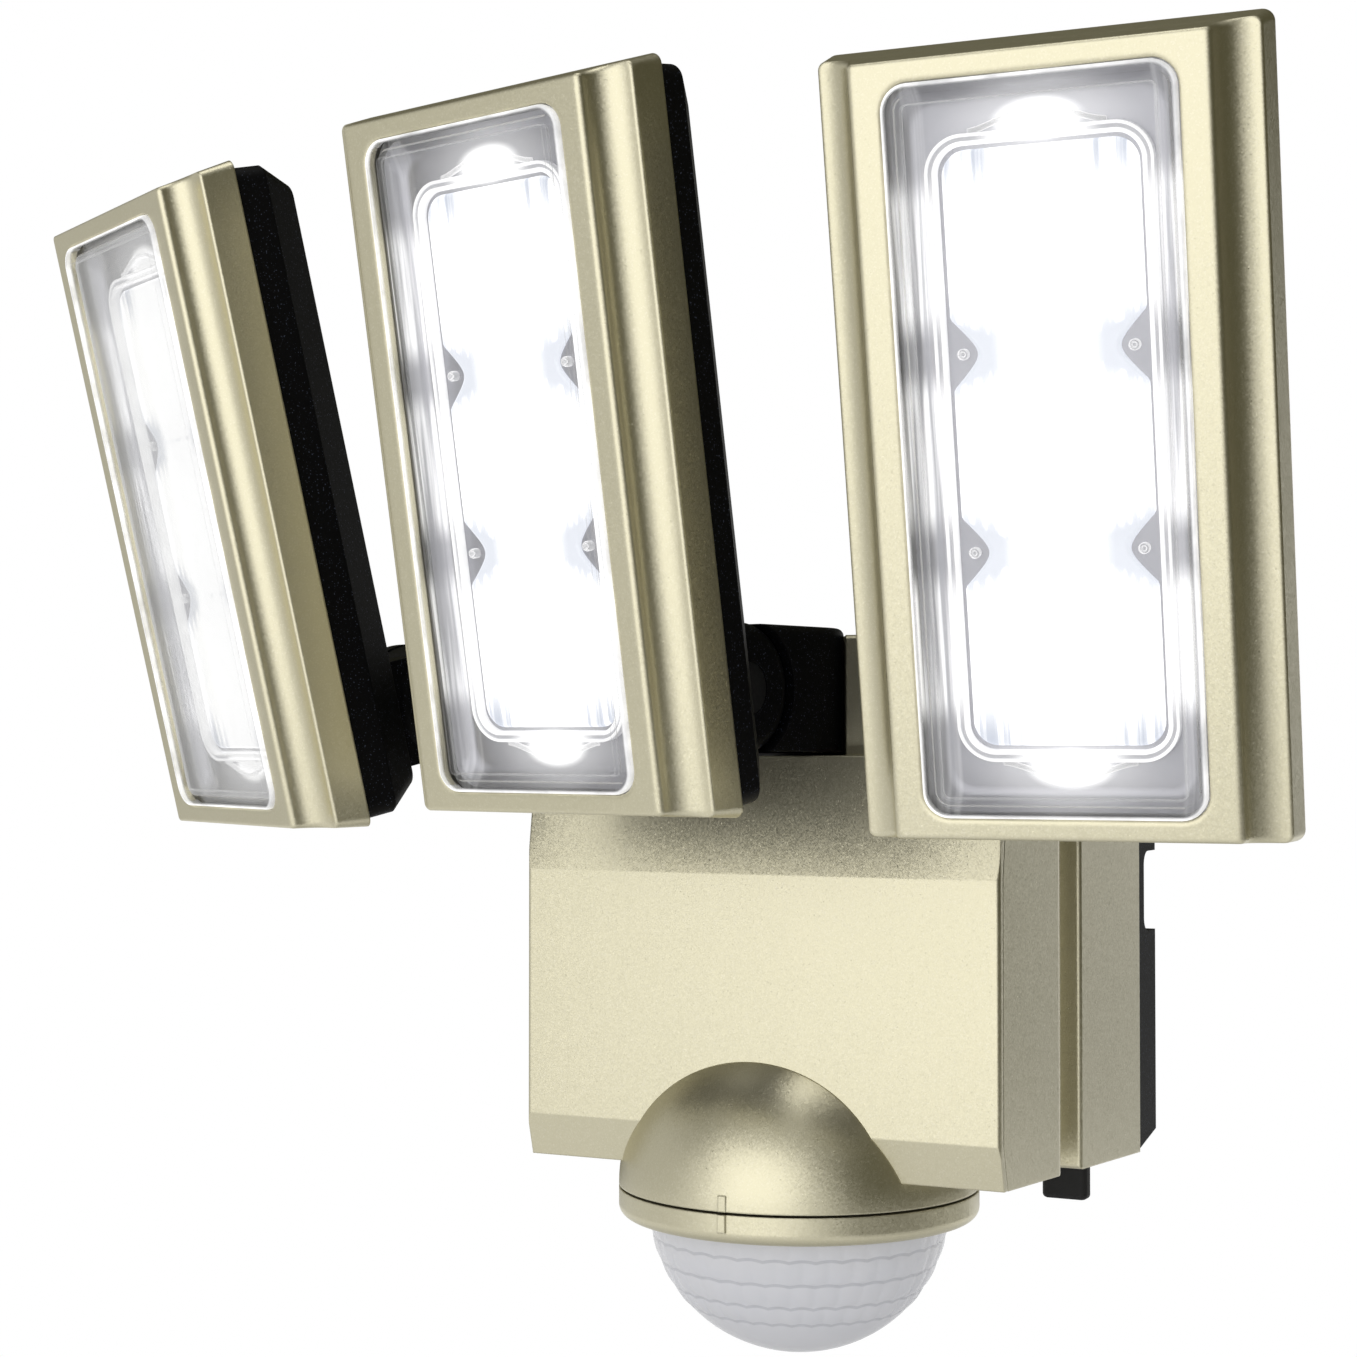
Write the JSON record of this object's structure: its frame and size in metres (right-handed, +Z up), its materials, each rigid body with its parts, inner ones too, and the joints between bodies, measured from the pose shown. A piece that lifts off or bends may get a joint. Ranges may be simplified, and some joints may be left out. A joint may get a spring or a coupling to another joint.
{
  "type": "motion sensor security light",
  "caption": "Wall-mounted outdoor security light with long LED heads on tilting, swinging arms and a dome-lensed motion sensor under a box housing.",
  "frame": {"origin": "centre of the wall plate's rear face, on the wall", "axes": "+X to the right of a person facing the wall, +Y into the wall, +Z up"},
  "size_m": [0.2612, 0.1895, 0.2362],
  "materials": {
    "gold": "champagne-gold metallic paint on moulded resin, fine sparkle, satin",
    "black": "black moulded resin, finely textured",
    "clear": "clear polycarbonate, polished",
    "lens_clear": "clear acrylic optics, polished",
    "silver": "silver vapour-metallised tray, slightly hazy",
    "led": "white light source, lit",
    "board_metal": "white-lacquered aluminium-core circuit board",
    "board_green": "green circuit board with components",
    "rubber": "black rubber",
    "steel": "stainless steel",
    "steel_black": "black-coated steel",
    "dome_white": "milky translucent polyethylene lens with moulded facets"
  },
  "bodies": {
    "housing": {"arm_tower": "gold", "case_gasket": "rubber", "case_screws": "steel", "centre_pan_washer": "rubber", "cord_gland": "rubber", "front_fascia": "gold", "left_pan_washer": "rubber", "lock_screw": "steel", "mid_housing": "gold", "power_board": "board_green", "rear_housing": "gold", "right_pan_washer": "rubber", "sensor_hood": "gold", "wall_plate": "black"},
    "sensor": {"sensor_ring": "gold", "sensor_clip": "steel", "sensor_board": "board_green", "pir_element": "steel", "dome_lens": "dome_white"},
    "left_arm": {"left_arm": "black", "left_pan_nut": "black"},
    "left_head": {"left_back": "black", "left_bezel": "gold", "left_cover": "clear", "left_gasket": "rubber", "left_knuckle": "black", "left_led_board": "board_metal", "left_leds": "led", "left_lens": "lens_clear", "left_reflector": "silver", "left_screws": "steel", "left_tilt_bolt": "steel_black"},
    "centre_arm": {"centre_arm": "black", "centre_pan_nut": "black"},
    "centre_head": {"centre_back": "black", "centre_bezel": "gold", "centre_cover": "clear", "centre_gasket": "rubber", "centre_knuckle": "black", "centre_led_board": "board_metal", "centre_leds": "led", "centre_lens": "lens_clear", "centre_reflector": "silver", "centre_screws": "steel", "centre_tilt_bolt": "steel_black"},
    "right_arm": {"right_arm": "black", "right_pan_nut": "black"},
    "right_head": {"right_back": "black", "right_bezel": "gold", "right_cover": "clear", "right_gasket": "rubber", "right_knuckle": "black", "right_led_board": "board_metal", "right_leds": "led", "right_lens": "lens_clear", "right_reflector": "silver", "right_screws": "steel", "right_tilt_bolt": "steel_black"}
  },
  "joints": [
    {"name": "left_pan", "type": "hinge", "parent": "housing", "child": "left_arm", "pos_m": [-0.033, -0.095, 0.055], "axis": [0, 0, 1], "range_deg": [-15, 14]},
    {"name": "left_tilt", "type": "hinge", "parent": "left_arm", "child": "left_head", "pos_m": [-0.08187, -0.09574, 0.0535], "axis": [0.8669, -0.4985, 0], "range_deg": [-35, 35]},
    {"name": "centre_pan", "type": "hinge", "parent": "housing", "child": "centre_arm", "pos_m": [0, -0.095, 0.055], "axis": [0, 0, 1], "range_deg": [-10, 15]},
    {"name": "centre_tilt", "type": "hinge", "parent": "centre_arm", "child": "centre_head", "pos_m": [-0.00572, -0.11882, 0.0552], "axis": [0.9724, -0.2334, 0], "range_deg": [-35, 35]},
    {"name": "right_pan", "type": "hinge", "parent": "housing", "child": "right_arm", "pos_m": [0.033, -0.095, 0.055], "axis": [0, 0, 1], "range_deg": [-12, 41]},
    {"name": "right_tilt", "type": "hinge", "parent": "right_arm", "child": "right_head", "pos_m": [0.07664, -0.11701, 0.0535], "axis": [0.9976, 0.0698, 0], "range_deg": [-35, 35]},
    {"name": "sensor_turn", "type": "hinge", "parent": "housing", "child": "sensor", "pos_m": [0, -0.085, -0.045], "axis": [0, 0, 1], "range_deg": [-30, 30]}
  ]
}
